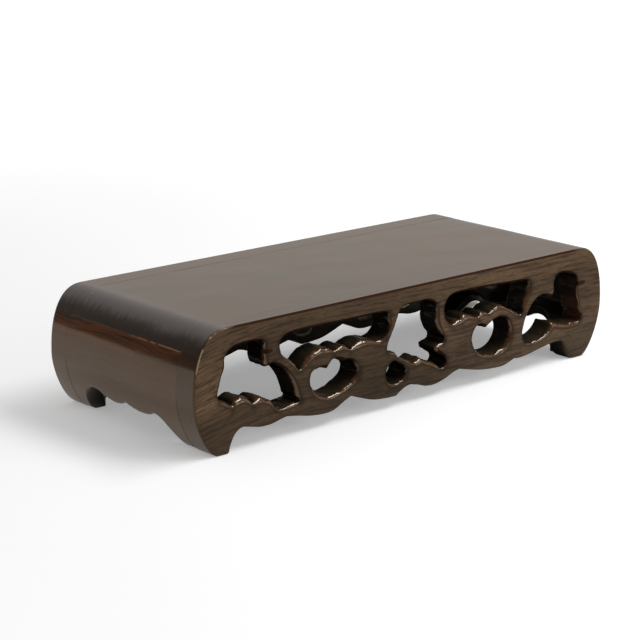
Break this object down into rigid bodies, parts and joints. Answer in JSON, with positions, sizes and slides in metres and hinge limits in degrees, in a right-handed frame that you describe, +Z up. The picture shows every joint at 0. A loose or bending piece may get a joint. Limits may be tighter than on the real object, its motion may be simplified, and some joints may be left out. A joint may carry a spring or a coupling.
{
  "type": "tabletop display stand",
  "caption": "Low hardwood display stand with rounded scroll ends, a plain top between two pierced side panels, and scalloped lower edges.",
  "frame": {"origin": "on the floor, under the middle of the top", "axes": "+X along the stand, +Y from the front panel to the back panel, +Z up"},
  "size_m": [0.356, 0.143, 0.0765],
  "materials": {
    "panel_rosewood": "satin lacquer",
    "board_rosewood": "satin lacquer",
    "bare_wood": "matt, unfinished"
  },
  "bodies": {
    "root": {"front_side_panel": "panel_rosewood", "back_side_panel": "panel_rosewood", "top_board": "board_rosewood", "left_end_board": "board_rosewood", "right_end_board": "board_rosewood", "left_loose_tongue": "bare_wood", "right_loose_tongue": "bare_wood", "front_top_dowel_1": "bare_wood", "front_top_dowel_2": "bare_wood", "front_top_dowel_3": "bare_wood", "front_top_dowel_4": "bare_wood", "front_left_end_dowel_1": "bare_wood", "front_left_end_dowel_2": "bare_wood", "front_right_end_dowel_1": "bare_wood", "front_right_end_dowel_2": "bare_wood", "back_top_dowel_1": "bare_wood", "back_top_dowel_2": "bare_wood", "back_top_dowel_3": "bare_wood", "back_top_dowel_4": "bare_wood", "back_left_end_dowel_1": "bare_wood", "back_left_end_dowel_2": "bare_wood", "back_right_end_dowel_1": "bare_wood", "back_right_end_dowel_2": "bare_wood"}
  },
  "joints": []
}
